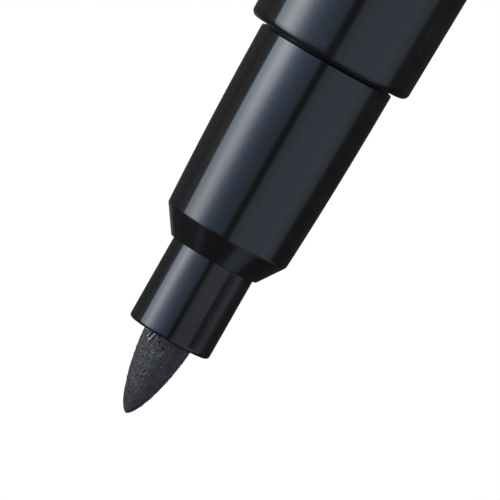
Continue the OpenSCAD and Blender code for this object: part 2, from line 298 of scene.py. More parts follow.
class Nodes:
    """A node tree with short calls for the nodes that the materials and the studio need."""

    def __init__(self, tree):
        self.tree = tree
        self.tree.nodes.clear()

    def new(self, kind, **settings):
        node = self.tree.nodes.new(kind)
        for key, value in settings.items():
            setattr(node, key, value)
        return node

    def link(self, source, target):
        self.tree.links.new(source, target)

    def feed(self, socket, value):
        """Links a socket's value, or sets a plain one."""
        if isinstance(value, bpy.types.NodeSocket):
            self.link(value, socket)
        else:
            socket.default_value = value

    def math(self, operation, a, b=0.0, c=0.0):
        node = self.new("ShaderNodeMath", operation=operation)
        for socket, value in zip(node.inputs, (a, b, c)):
            self.feed(socket, value)
        return node.outputs[0]

    def product(self, total, *factors):
        for factor in factors:
            total = self.math("MULTIPLY", total, factor)
        return total

    def turn(self, split):
        """Degrees round the pen's axis of a separated vector: 0 towards -Y, and positive towards -X."""
        x, y = (self.math("MULTIPLY", part, -1.0) for part in list(split.outputs)[:2])
        return self.math("MULTIPLY", self.math("ARCTAN2", x, y), math.degrees(1))

    def fade(self, value, start, end, low=0.0, high=1.0):
        """low where value is at start, high where it is at end, eased between."""
        if start > end:
            start, end, low, high = end, start, high, low
        node = self.new("ShaderNodeMapRange", interpolation_type="SMOOTHSTEP")
        self.link(value, node.inputs["Value"])
        for name, number in (("From Min", start), ("From Max", end), ("To Min", low), ("To Max", high)):
            node.inputs[name].default_value = number
        return node.outputs["Result"]

    def window(self, value, low, high, soft_low, soft_high=None):
        """1 where value is between low and high, and 0 elsewhere, with edges of these widths."""
        soft_high = soft_high or soft_low
        rise = self.fade(value, low - soft_low / 2, low + soft_low / 2)
        fall = self.fade(value, high + soft_high / 2, high - soft_high / 2)
        return self.math("MULTIPLY", rise, fall)

    def ramp(self, value, stops):
        """Colour stops at places from 0 to 1."""
        node = self.new("ShaderNodeValToRGB")
        elements = node.color_ramp.elements
        while len(elements) < len(stops):
            elements.new(0.5)
        for element, (place, colour) in zip(elements, stops):
            element.position = place
            element.color = (*colour, 1)
        self.link(value, node.inputs[0])
        return node.outputs[0]

    def tint(self, colour, amount):
        """A colour, or a colour socket, times a number or a value socket."""
        node = self.new("ShaderNodeVectorMath", operation="SCALE")
        self.feed(node.inputs[0], colour)
        self.feed(node.inputs["Scale"], amount)
        return node.outputs[0]

    def add(self, total, *colours):
        for colour in colours:
            node = self.new("ShaderNodeVectorMath", operation="ADD")
            self.feed(node.inputs[0], total)
            self.feed(node.inputs[1], colour)
            total = node.outputs[0]
        return total

    def mix(self, amount, a, b):
        """Colour a where amount is 0, colour b where it is 1."""
        node = self.new("ShaderNodeMix", data_type="RGBA")
        self.feed(node.inputs["Factor"], amount)
        self.feed(node.inputs[6], a if isinstance(a, bpy.types.NodeSocket) else (*a, 1))
        self.feed(node.inputs[7], b if isinstance(b, bpy.types.NodeSocket) else (*b, 1))
        return node.outputs[2]

    def place(self, stretch=(1, 1, 1)):
        """Object coordinates, scaled."""
        coords = self.new("ShaderNodeTexCoord")
        mapping = self.new("ShaderNodeMapping")
        mapping.inputs["Scale"].default_value = stretch
        self.link(coords.outputs["Object"], mapping.inputs["Vector"])
        return mapping.outputs["Vector"]

    def noise(self, place, size, detail=3.0, rough=0.5, warp=0.0):
        """Noise with features of about this size in metres."""
        node = self.new("ShaderNodeTexNoise")
        self.link(place, node.inputs["Vector"])
        node.inputs["Scale"].default_value = 1 / size
        node.inputs["Detail"].default_value = detail
        node.inputs["Roughness"].default_value = rough
        node.inputs["Distortion"].default_value = warp
        return node.outputs["Fac"]

    def cells(self, place, size):
        """Distance from the nearest of many scattered points, which lie about this far apart in metres."""
        node = self.new("ShaderNodeTexVoronoi")
        self.link(place, node.inputs["Vector"])
        node.inputs["Scale"].default_value = 1 / size
        return node.outputs["Distance"]

    def bump(self, height, distance, after=None):
        """A normal that leans with the height, whose 1 stands for this distance in metres."""
        node = self.new("ShaderNodeBump")
        node.inputs["Distance"].default_value = distance
        self.link(height, node.inputs["Height"])
        if after is not None:
            self.link(after, node.inputs["Normal"])
        return node.outputs["Normal"]

    def principled(self, colour, roughness, normal, **constants):
        """The material's shader and output. A constant's name has _ where its socket's name has a space."""
        shader = self.new("ShaderNodeBsdfPrincipled")
        self.feed(shader.inputs["Base Color"], colour)
        self.feed(shader.inputs["Roughness"], roughness)
        self.link(normal, shader.inputs["Normal"])
        for key, value in constants.items():
            shader.inputs[key.replace("_", " ")].default_value = value
        out = self.new("ShaderNodeOutputMaterial")
        self.link(shader.outputs[0], out.inputs["Surface"])
        return shader


def material(name):
    """A new material and the short calls for its nodes."""
    made = bpy.data.materials.new(name)
    made.use_nodes = True
    return made, Nodes(made.node_tree)


# ---------------------------------------------------------------- the surface of the nib


def nib_radius(z):
    """Radius of the two-ended nib at a height."""
    t = min(NIB_TIP_Z - z, z - NIB_TAIL_Z, NIB_POINT) / NIB_POINT
    return NIB_R * (1 - (1 - max(t, 0)) ** NIB_FULLNESS) ** NIB_BLUNTNESS


def on_nib(bearing, z, lift):
    """A point over the nib's surface. A bearing of 0 degrees faces -Y, and positive bearings turn to +X."""
    r = nib_radius(z) + lift
    angle = math.radians(bearing)
    return Vector((r * math.sin(angle), -r * math.cos(angle), z))


# Small holes in the felt, darkened with painted shade: bearing, how far out of the collar, and width. Four in
# a row make a crease.
PITS = [(38.6, 0.28, 0.15), (38.6, 0.50, 0.15), (34.5, 0.90, 0.10), (11.5, 0.56, 0.11), (17, 0.92, 0.08),
        (-3.5, 0.92, 0.13), (-17, 2.22, 0.12), (29.5, 1.66, 0.09), (21, 1.78, 0.08), (26.5, 2.02, 0.09),
        (33.5, 2.36, 0.10), (50, 1.84, 0.07), (46.5, 1.82, 0.08), (43, 1.78, 0.09), (39.5, 1.74, 0.08),
        (26, 2.9, 0.08), (12, 3.4, 0.08), (33, 3.2, 0.08), (27, 4.0, 0.07)]
HOLE_ASPECT = 0.7                  # a hole's width over its length, which runs along the pen


# ---------------------------------------------------------------- materials


def gloss_black():
    """Polished black moulded plastic with a faint ripple, smudges and a few specks of dust."""
    made, n = material("gloss_black_plastic")
    place = n.place()
    patches = n.noise(place, 6 * MM, 2)
    colour = n.ramp(patches, [(0.3, (0.0070, 0.0065, 0.0062)), (0.7, (0.0088, 0.0082, 0.0076))])
    smudge = n.noise(place, 3.5 * MM, 5, 0.6)
    speck = n.fade(n.cells(place, 1.9 * MM), 0.030, 0.012)
    colour = n.mix(n.math("MULTIPLY", speck, 0.5), colour, (0.16, 0.16, 0.17))
    rough = n.math("ADD", n.fade(smudge, 0.35, 0.75, 0.100, 0.145), n.math("MULTIPLY", speck, 0.25))
    ripple = n.bump(n.noise(place, 1.6 * MM, 1), 0.0016 * MM)
    grainy = n.bump(n.noise(place, 0.12 * MM, 2), 0.0001 * MM, after=ripple)
    dust = n.bump(speck, 0.006 * MM, after=grainy)
    n.principled(colour, rough, dust, IOR=1.5)
    return made


def satin_black():
    """Unpolished black plastic, as the mould left it."""
    made, n = material("satin_black_plastic")
    place = n.place()
    colour = n.ramp(n.noise(place, 1.5 * MM, 3), [(0.3, (0.010, 0.010, 0.011)), (0.7, (0.017, 0.017, 0.019))])
    rough = n.fade(n.noise(place, 0.5 * MM, 3), 0.3, 0.7, 0.42, 0.56)
    n.principled(colour, rough, n.bump(n.noise(place, 0.15 * MM, 2), 0.003 * MM), IOR=1.5)
    return made


def seam_painted_shade():
    """The same plastic down in the seam and on the rim beside it, darker and less glossy: painted shade where
    the grip meets the barrel.
    """
    made, n = material("seam_black_plastic")
    place = n.place()
    patches = n.noise(place, 1 * MM, 3)
    colour = n.ramp(patches, [(0.3, (0.0030, 0.0030, 0.0032)), (0.7, (0.0050, 0.0050, 0.0054))])
    rough = n.fade(n.noise(place, 0.5 * MM, 3), 0.3, 0.7, 0.50, 0.62)
    grain = n.bump(n.noise(place, 0.15 * MM, 2), 0.002 * MM)
    n.principled(colour, rough, grain, IOR=1.5, Specular_IOR_Level=0.12)
    return made


def liner_grey():
    """Soft grey plastic of the cap's liner."""
    made, n = material("soft_grey_liner")
    place = n.place()
    colour = n.ramp(n.noise(place, 2 * MM, 4), [(0.3, (0.17, 0.17, 0.18)), (0.7, (0.23, 0.23, 0.24))])
    rough = n.fade(n.noise(place, 0.6 * MM, 3), 0.3, 0.7, 0.45, 0.62)
    n.principled(colour, rough, n.bump(n.noise(place, 0.2 * MM, 3), 0.006 * MM), IOR=1.48)
    return made


def nib_felt():
    """Ink-stained bonded fibre: near-black clumps with rubbed, shinier tops, fine strands, and dents and
    holes darkened with painted shade.
    """
    made, n = material("nib_felt")
    place = n.place()
    clumps = n.noise(n.place((1, 1, 0.7)), 0.30 * MM, 4, 0.6, 0.6)
    strands = n.noise(n.place((1, 1, 0.4)), 0.11 * MM, 3, 0.6, 0.4)
    mottle = n.noise(place, 0.9 * MM, 4, 0.6)
    mixed = n.math("ADD", n.math("MULTIPLY", clumps, 0.55), n.math("MULTIPLY", strands, 0.45))
    colour = n.ramp(mixed, [(0.36, (0.0155, 0.0130, 0.0140)), (0.49, (0.0225, 0.0190, 0.0205)),
                            (0.58, (0.0310, 0.0265, 0.0285)), (0.68, (0.0550, 0.0485, 0.0520))])
    # Painted shade: scattered dents, darker in colour as well as lower.
    pit_dents_and_shade = n.fade(n.cells(n.place((1, 1, 0.6)), 0.62 * MM), 0.15, 0.06)
    colour = n.mix(n.math("MULTIPLY", pit_dents_and_shade, 0.75), colour, (0.005, 0.004, 0.004))
    colour = n.tint(colour, n.fade(mottle, 0.34, 0.66, 0.75, 1.3))
    # Painted light: the felt's colour lightens towards the nib's point.
    split = n.new("ShaderNodeSeparateXYZ")
    n.link(place, split.inputs[0])
    colour = n.tint(colour, n.fade(split.outputs[2], (NIB_TIP_Z - 1.6) * MM, NIB_TIP_Z * MM, 1.0, 1.7))
    height = n.math("ADD", n.math("MULTIPLY", clumps, 1.1), n.math("MULTIPLY", strands, 0.6))
    height = n.math("ADD", height, n.math("MULTIPLY", n.noise(place, 0.05 * MM, 2), 0.25))
    height = n.math("SUBTRACT", height, n.math("MULTIPLY", pit_dents_and_shade, 0.6))
    shortened = n.place((1, 1, HOLE_ASPECT))
    # Painted shade: the listed holes go near-black and lose their gloss.
    shaded_hole = 0.0
    for bearing, out, width in PITS:
        spot = on_nib(bearing, MOUTH_Z + out, -0.05)
        away = n.new("ShaderNodeVectorMath", operation="DISTANCE")
        n.link(shortened, away.inputs[0])
        away.inputs[1].default_value = Vector((spot.x, spot.y, spot.z * HOLE_ASPECT)) * MM
        shaded_hole = n.math("MAXIMUM", n.fade(away.outputs["Value"], 0.85 * width * MM, 0.35 * width * MM), shaded_hole)
    colour = n.mix(n.math("MULTIPLY", shaded_hole, 0.9), colour, (0.002, 0.002, 0.002))
    rough = n.math("MAXIMUM", n.fade(mixed, 0.44, 0.60, 0.58, 0.26), n.math("MULTIPLY", shaded_hole, 0.9))
    shader = n.principled(colour, rough, n.bump(height, 0.09 * MM), IOR=1.5)
    n.link(n.fade(shaded_hole, 0.0, 1.0, 0.5, 0.0), shader.inputs["Specular IOR Level"])
    return made


def single_fibre():
    """Single fibres on the nib: some stained, some rubbed pale."""
    made, n = material("single_fibre")
    stain = n.noise(n.place((1, 1, 0.4)), 0.5 * MM, 3)
    colour = n.ramp(stain, [(0.35, (0.022, 0.020, 0.022)), (0.55, (0.050, 0.046, 0.052)),
                            (0.72, (0.16, 0.155, 0.165))])
    n.principled(colour, 0.5, n.bump(n.noise(n.place(), 0.03 * MM, 2), 0.003 * MM), IOR=1.5)
    return made


def pale_fibre():
    """The pulled loop by the collar, with little ink left in it."""
    made, n = material("pale_fibre")
    stain = n.noise(n.place(), 0.25 * MM, 3)
    colour = n.ramp(stain, [(0.35, (0.20, 0.18, 0.17)), (0.52, (0.48, 0.45, 0.43)),
                            (0.7, (0.80, 0.76, 0.72))])
    n.principled(colour, 0.45, n.bump(n.noise(n.place(), 0.04 * MM, 2), 0.006 * MM), IOR=1.5)
    return made


def dim_stray_fibre():
    """Stray ends, darker than the pulled loop."""
    made, n = material("dim_stray_fibre")
    stain = n.noise(n.place((1, 1, 0.5)), 0.2 * MM, 3)
    colour = n.ramp(stain, [(0.35, (0.075, 0.072, 0.076)), (0.55, (0.140, 0.137, 0.146)),
                            (0.7, (0.22, 0.22, 0.23))])
    n.principled(colour, 0.55, n.bump(n.noise(n.place(), 0.04 * MM, 2), 0.006 * MM), IOR=1.5)
    return made


def reservoir_fibre():
    """Ink-soaked fibres, all along the rod."""
    made, n = material("reservoir_fibre")
    strands = n.noise(n.place((1, 1, 0.05)), 0.09 * MM, 4, 0.6)
    colour = n.ramp(strands, [(0.3, (0.008, 0.008, 0.009)), (0.7, (0.03, 0.03, 0.033))])
    rough = n.fade(n.noise(n.place(), 1 * MM, 2), 0.3, 0.7, 0.68, 0.82)
    n.principled(colour, rough, n.bump(strands, 0.05 * MM), IOR=1.4)
    return made


def clear_film():
    """Thin clear film with faint creases."""
    made, n = material("clear_film")
    place = n.place((1, 1, 0.2))
    colour = n.ramp(n.noise(place, 2 * MM, 2), [(0.3, (0.70, 0.73, 0.76)), (0.7, (0.80, 0.83, 0.85))])
    rough = n.fade(n.noise(n.place(), 1.5 * MM, 3), 0.3, 0.7, 0.12, 0.25)
    n.principled(colour, rough, n.bump(n.noise(place, 0.8 * MM, 2), 0.02 * MM), IOR=1.5, Alpha=0.35)
    return made


def floor_paper_glow():
    """Pale paper that glows with painted light, less near the pen, brightening into the white backdrop away
    from it.
    """
    made, n = material("floor_paper_glow")
    place = n.place()
    colour = n.ramp(n.noise(place, 40 * MM, 4), [(0.3, (0.83, 0.79, 0.735)), (0.7, (0.87, 0.83, 0.775))])
    away = n.new("ShaderNodeVectorMath", operation="LENGTH")
    n.link(place, away.inputs[0])
    shader = n.principled(colour, 0.9, n.bump(n.noise(place, 1.2 * MM, 3), 0.05 * MM), IOR=1.3,
                          Emission_Color=(1, 0.99, 0.97, 1))
    # Painted light: the floor glows, from half strength near the pen to full strength far from it.
    n.link(n.fade(away.outputs["Value"], 0.10, 0.7, 0.50, 1.0), shader.inputs["Emission Strength"])
    return made


# ---------------------------------------------------------------- barrel and grip section


def barrel_radius(from_shoulder):
    """Radius of the barrel: it leaves the shoulder at a slope and swells to its straight middle."""
    t = from_shoulder / SWELL_LEN
    return (SHOULDER_R * (2 * t**3 - 3 * t**2 + 1) + SHOULDER_SLOPE * SWELL_LEN * (t**3 - 2 * t**2 + t)
            + BARREL_R * (3 * t**2 - 2 * t**3))


def section_radius(from_barrel):
    """Radius of the grip section: a long shallow arc."""
    length = CONE_Z - SECTION_Z
    sag = SECTION_R - SECTION_END_R - SECTION_SLOPE * length
    return SECTION_R - SECTION_SLOPE * from_barrel - sag * (from_barrel / length) ** 2


def barrel(finish):
    """The shell, with a seat for the spigot, a wider ribbed bore, and a seat for the tail's flange."""
    steps = 32
    swell = [(barrel_radius(SWELL_LEN * i / steps), SWELL_LEN * i / steps) for i in range(1, steps + 1)]
    bevel, spigot_gap = 0.15, 0.5
    seat_r = SPIGOT_R + FIT
    seat_end_z = SPIGOT_END_Z - spigot_gap
    groove_r, groove_half = seat_r + SNAP_H, SNAP_FLAT + SLIP
    corners = [(SHOULDER_R, REAR_Z, BARREL_EDGE)]
    corners += [(r, REAR_Z + d, 0) for r, d in swell]
    corners += [(r, FRONT_Z - d, 0) for r, d in reversed(swell)]
    corners += [
        (SHOULDER_R, FRONT_Z, BARREL_EDGE),
        (seat_r + bevel, FRONT_Z, CRISP), (seat_r, FRONT_Z - bevel, CRISP),
        (seat_r, SNAP_Z + SNAP_FOOT, 0), (groove_r, SNAP_Z + groove_half, 0),
        (groove_r, SNAP_Z - groove_half, 0), (seat_r, SNAP_Z - SNAP_FOOT, 0),
        (seat_r, seat_end_z + BARREL_BORE_R - seat_r, 0), (BARREL_BORE_R, seat_end_z, 0),
        (BARREL_BORE_R, REAR_Z + PLUG_SEAT, SOFT), (PLUG_SEAT_R, REAR_Z + PLUG_SEAT, 0),
        (PLUG_SEAT_R, REAR_Z, NEAT),
    ]
    ribs, rib_t, above_plug, below_seat = 6, 0.9, 4, 1
    low = SECTION_BORE_R, -rib_t / 2, REAR_Z + PLUG_DEPTH + above_plug
    high = BARREL_BORE_R + BITE, rib_t / 2, seat_end_z - below_seat
    inside = bmesh.new()
    for i in range(ribs):
        block(inside, low, high, math.tau * i / ribs)
    bm = combined(turned(rounded(corners)), inside, "UNION")
    return piece("barrel_shell", bm, finish, "pen", "barrel")


def grip_section(finish, seam_shade):
    """One moulding: spigot with its snap bead, stop ring in the seam, grip, cone, collar and the bores."""
    steps = 28
    length = CONE_Z - SECTION_Z
    along = [length * i / steps for i in range(1, steps)]
    ring_r = SECTION_R - SEAM_DEPTH
    bead_r = SPIGOT_R + SNAP_H
    seat_z = CONE_Z - HOLDER_SEAT
    edge_drop = 0.04
    foot_w, foot_h = 0.06, 0.08
    mouth_bevel = 0.2
    corners = [
        (SPIGOT_R - LEAD_IN, SPIGOT_END_Z, SOFT), (SPIGOT_R, SPIGOT_END_Z + LEAD_IN, SOFT),
        (SPIGOT_R, SNAP_Z - SNAP_FOOT, 0), (bead_r, SNAP_Z - SNAP_FLAT, CRISP),
        (bead_r, SNAP_Z + SNAP_FLAT, CRISP), (SPIGOT_R, SNAP_Z + SNAP_FOOT, 0),
        (SPIGOT_R, FRONT_Z, 0), (ring_r, FRONT_Z, 0), (ring_r, SECTION_Z, CRISP),
        (SECTION_R, SECTION_Z, SECTION_EDGE),
    ]
    corners += [(section_radius(d), SECTION_Z + d, 0) for d in along]
    corners += [
        (SECTION_END_R, CONE_Z - edge_drop, CONE_EDGE), (CONE_END_R, COLLAR_Z - foot_h, foot_w),
        (CONE_END_R - foot_w, COLLAR_Z, CRISP),
        (COLLAR_R, COLLAR_Z, SOFT), (COLLAR_R, MOUTH_Z, COLLAR_EDGE),
        (COLLAR_BORE_R + mouth_bevel, MOUTH_Z, NEAT), (COLLAR_BORE_R, MOUTH_Z - mouth_bevel, NEAT),
        (COLLAR_BORE_R, seat_z, 0), (SECTION_BORE_R, seat_z, 0), (SECTION_BORE_R, SPIGOT_END_Z, SOFT),
    ]
    bm = turned(rounded(corners))
    # Painted shade: the seam and the rim beside it take the darker, less glossy finish.
    inner = seam_shade, lambda middle: middle.z < SECTION_Z + SECTION_EDGE
    return piece("grip_moulding", bm, finish, "pen", "grip_section", inner=inner)


# ---------------------------------------------------------------- cap, clip and tail


def cap_radius(z):
    """Radius of the cap: full at the mouth, drawn in towards its closed end."""
    return SHOULDER_R - CAP_DRAW * (1 - z / CAP_MOUTH_Z) ** CAP_DRAW_POWER


def clip_slot():
    """What the slot takes out of the cap: a round pocket for the clip's bead and a gap for its neck."""
    pocket_r = BEAD_R + SLIP
    half_h = SLOT_H / 2
    half_w = CLIP_HALF_W + 2 * SLIP
    start = math.asin(half_h / pocket_r)
    steps = 24
    angles = [start + (math.tau - 2 * start) * i / steps for i in range(steps + 1)]
    side = [CLIP_PIVOT + Vector((pocket_r * math.cos(a), 0, pocket_r * math.sin(a))) for a in angles]
    side += [CLIP_PIVOT + Vector((BEND_OUT_R + 1, 0, z)) for z in (-half_h, half_h)]
    return lofted([[point + Vector((0, y, 0)) for point in side] for y in (-half_w, half_w)])


def cap(finish):
    """The cap's tube, with seats inside for the liner and the end plug, and the clip's slot."""
    steps, under_liner = 14, 0.3
    step_z = liner_high.z - LINER_FLANGE
    seat_z = liner_low.z - under_liner
    wall = [CAP_MOUTH_Z * i / steps for i in range(1, steps)]
    corners = [(cap_radius(0), 0, CAP_EDGE)] + [(cap_radius(z), z, 0) for z in wall]
    corners += [
        (SHOULDER_R, CAP_MOUTH_Z, CAP_MOUTH_EDGE),
        (CAP_BORE_R + LEAD_IN, CAP_MOUTH_Z, SOFT), (CAP_BORE_R, CAP_MOUTH_Z - LEAD_IN, SOFT),
        (CAP_BORE_R, step_z, 0), (LINER_R + FIT, step_z, 0), (LINER_R + FIT, seat_z, 0),
        (END_SPIGOT_R + FIT, seat_z, 0), (END_SPIGOT_R + FIT, END_DISC, 0),
        (disc_high.x + FIT, END_DISC, 0), (disc_high.x + FIT, 0, NEAT),
    ]
    bm = combined(turned(rounded(corners)), clip_slot(), "DIFFERENCE")
    return piece("cap_tube", bm, finish, "cap", "cap_shell")


def clip_ring(outer, inner, half_w, rounding):
    """A rounded section through the clip, between its outer and inner side at y = 0."""
    thick = (outer - inner).length
    rounding = min(rounding, 0.9 * half_w, 0.45 * thick)
    flat = half_w - rounding
    across = [flat * share for share in (-1, -0.9, -0.6, -0.3, 0, 0.3, 0.6, 0.9, 1)]
    turns = [math.radians(22.5 * k) for k in range(1, 4)]
    quarter = [(flat + rounding * math.sin(t), rounding - rounding * math.cos(t)) for t in turns]
    right = quarter + [(half_w, rounding), (half_w, thick - rounding)]
    right += [(y, thick - depth) for y, depth in reversed(quarter)]
    loop = [(y, 0) for y in across] + right + [(y, thick) for y in reversed(across)]
    loop += [(-y, depth) for y, depth in reversed(right)]
    ring = []
    for y, depth in loop:
        face = Vector((min(outer.x, math.sqrt(CLIP_R**2 - y**2)), 0, outer.z))
        ring.append(face.lerp(inner, depth / thick) + Vector((0, y, 0)))
    return ring


def clip(finish):
    """The clip: a bead in the cap's slot, a neck, a bend, and a blade with a bump that bears on the cap."""
    def at(x, z):
        return Vector((x, 0, z))

    rings = []
    neck_z = CLIP_PIVOT.z - NECK / 2
    bead_start = math.radians(172)
    bead_end = math.asin(NECK / 2 / BEAD_R)
    bead_steps, bend_steps, blade_steps, tip_steps = 14, 12, 16, 16
    for i in range(bead_steps + 1):
        angle = bead_start + (bead_end - bead_start) * i / bead_steps
        x, half_t = CLIP_PIVOT.x + BEAD_R * math.cos(angle), BEAD_R * math.sin(angle)
        below, above = at(x, CLIP_PIVOT.z - half_t), at(x, CLIP_PIVOT.z + half_t)
        rings.append(clip_ring(below, above, CLIP_HALF_W, BEAD_EDGE))
    inner_x = CLIP_R - CLIP_T
    for i in range(bend_steps + 1):
        angle = math.pi / 2 * i / bend_steps
        way = at(math.sin(angle), -math.cos(angle))
        outer = at(CLIP_R - BEND_OUT_R, neck_z + BEND_OUT_R) + way * BEND_OUT_R
        inner = at(inner_x - BEND_IN_R, neck_z + NECK + BEND_IN_R) + way * BEND_IN_R
        rings.append(clip_ring(outer, inner, CLIP_HALF_W, CLIP_EDGE))
    tip_z = CLIP_TOP_Z - CLIP_HALF_W
    bump_z = CLIP_TOP_Z - BUMP_BELOW
    bump_x = cap_radius(bump_z) + BUMP_GAP + BUMP_R
    bump_half = math.sqrt(BUMP_R**2 - (bump_x - inner_x) ** 2)
    blade_z, bump_low_z = neck_z + BEND_OUT_R, bump_z - bump_half
    tip_angles = [math.radians(89) * i / tip_steps for i in range(1, tip_steps + 1)]
    heights = [blade_z + (bump_low_z - blade_z) * share for share in (0.04, 0.3, 0.65, 0.99)]
    heights += [bump_low_z + (tip_z - bump_low_z) * i / blade_steps for i in range(blade_steps + 1)]
    heights += [tip_z + CLIP_HALF_W * math.sin(angle) for angle in tip_angles]
    for z in heights:
        beyond = max(z - tip_z, 0)
        half_w = math.sqrt(CLIP_HALF_W**2 - beyond**2)
        into_edge = max(CLIP_EDGE - (CLIP_TOP_Z - z), 0)
        trim = CLIP_EDGE - math.sqrt(CLIP_EDGE**2 - into_edge**2)
        bump = inner_x
        if abs(z - bump_z) < bump_half:
            bump = bump_x - math.sqrt(BUMP_R**2 - (z - bump_z) ** 2)
        rings.append(clip_ring(at(CLIP_R - trim, z), at(bump + trim, z), half_w, CLIP_EDGE))
    return piece("clip_blade", lofted(rings), finish, "clip", "pocket_clip", sharp=35)


def tail(finish):
    """The closed tail that the cap posts on, with the flange and plug that hold it in the barrel."""
    mark_r, mark_depth, mark_edge = 2.5, 0.3, 0.1
    floor_z = TAIL_Z + TAIL_FLOOR
    plug_z = REAR_Z + PLUG_DEPTH
    flange_z = REAR_Z + PLUG_SEAT - FIT
    flange_r, plug_r = PLUG_SEAT_R - FIT, BARREL_BORE_R - FIT
    bevel = 0.4
    corners = [
        (0, TAIL_Z + mark_depth, 0), (mark_r, TAIL_Z + mark_depth, SOFT), (mark_r, TAIL_Z, mark_edge),
        (TAIL_R, TAIL_Z, TAIL_EDGE), (TAIL_R, REAR_Z, 0),
        (flange_r, REAR_Z, 0), (flange_r, flange_z, 0), (plug_r, flange_z, 0),
        (plug_r, plug_z - bevel, 0), (plug_r - bevel, plug_z, 0), (TAIL_BORE_R, plug_z, 0),
        (TAIL_BORE_R, floor_z, 0), (0, floor_z, 0),
    ]
    fins, fin_t, fin_h, fin_r, fin_root = 4, 0.8, 1, 1.5, 0.2
    low = fin_r, -fin_t / 2, floor_z - fin_root
    high = TAIL_BORE_R + BITE, fin_t / 2, floor_z + fin_h - FIT
    inside = bmesh.new()
    for i in range(fins):
        block(inside, low, high, math.tau * i / fins)
    bm = combined(turned(rounded(corners)), inside, "UNION")
    return piece("tail_moulding", bm, finish, "pen", "tail_plug")


# ---------------------------------------------------------------- the nib


def felt(point):
    """Moves a point of the nib's surface by the unevenness of bonded fibre: clumps, grains and holes.

    The unevenness fades towards the nib's points, where the nib is thinner than calm_r.
    """
    clump_h, grain_h, mean_h, calm_r = 0.052, 0.028, 0.024, 1.6
    hole_depth, hole_steepness = 1.4, 2.5
    x, y, z = point
    r = math.hypot(x, y)
    clump = abs(noise.noise(Vector((x * 1.5, y * 1.5, z + 7))))
    clump += 0.5 * abs(noise.noise(Vector((x * 3.4, y * 3.4, z * 2.4))))
    grain = noise.noise(Vector((x * 5.2, y * 5.2, z * 3.6)))
    grain += 0.5 * noise.noise(Vector((x * 10, y * 10, z * 7)))
    out = clump_h * clump + grain_h * grain - mean_h
    bearing, along = math.atan2(x, -y), z - MOUTH_Z
    for hole_bearing, hole_along, width in PITS:
        across = (bearing - math.radians(hole_bearing)) * r
        away = math.hypot(across, (along - hole_along) * HOLE_ASPECT) / width
        out -= hole_depth * width * math.exp(-hole_steepness * away**2)
    out *= min(r / calm_r, 1)
    return Vector((x * (r + out) / r, y * (r + out) / r, z))


def brush_nib(finish):
    """The nib: fine rings where it shows, coarse ones inside the pen, and close ones at its two points."""
    fine, coarse, first, past_mouth = 0.05, 0.12, 0.004, 0.3
    depth, rings = first, []
    while depth < NIB_TIP_Z - MOUTH_Z + past_mouth:
        rings.append(NIB_TIP_Z - depth)
        depth += min(fine, depth * 0.5)
    while depth < NIB_TIP_Z - NIB_TAIL_Z - first:
        rings.append(NIB_TIP_Z - depth)
        depth += max(min(coarse, (NIB_TIP_Z - NIB_TAIL_Z - depth) * 0.4), first)
    outline = [(0, NIB_TIP_Z)] + [(nib_radius(z), z) for z in rings] + [(0, NIB_TAIL_Z)]
    bm = turned(outline, around=288, bend=felt)
    return piece("felt_nib", bm, finish, "nib", "brush_nib", sharp=60)


def strand(bm, path, thickness, sides=5):
    """Adds one fibre along a path in mm, pointed at both ends."""
    rings = []
    taper = 0.75
    last = len(path) - 1
    for i, point in enumerate(path):
        if i in (0, last):
            rings.append([bm.verts.new(point * MM)] * sides)
            continue
        way = (path[i + 1] - path[i - 1]).normalized()
        side = way.cross(Vector((point.x, point.y, 0))).normalized()
        out = side.cross(way)
        r = thickness / 2 * (taper if i in (1, last - 1) else 1)
        turns = [math.tau * k / sides for k in range(sides)]
        ring = [point + side * r * math.cos(turn) + out * r * math.sin(turn) for turn in turns]
        rings.append([bm.verts.new(corner * MM) for corner in ring])
    for ring, after in zip(rings, rings[1:]):
        for i in range(sides):
            j = (i + 1) % sides
            corners = list(dict.fromkeys((ring[i], ring[j], after[j], after[i])))
            if len(corners) > 2:
                bm.faces.new(corners)


def surface_fibres(finish):
    """Short fibres that lie on the nib, a little proud of it, mostly along its length."""
    draw = random.Random(7)
    fibres, steps, tuck = 420, 6, 0.03
    bm = bmesh.new()
    for _ in range(fibres):
        z = draw.uniform(MOUTH_Z - 0.4, NIB_TIP_Z - 0.8)
        length = draw.uniform(0.2, 0.75)
        bearing = draw.uniform(-180, 180)
        skew = draw.gauss(0, 11.2)
        curl = draw.gauss(0, 6)
        lift = draw.uniform(-0.004, 0.010)
        path = []
        for k in range(steps + 1):
            s = k / steps
            rise = lift - tuck * (2 * s - 1) ** 4
            swing = skew * s + curl * math.sin(math.pi * s)
            path.append(on_nib(bearing + swing, z + length * (s - 0.5), rise))
        strand(bm, path, draw.uniform(0.018, 0.036))
    return piece("surface_fibres", bm, finish, "nib", sharp=80)


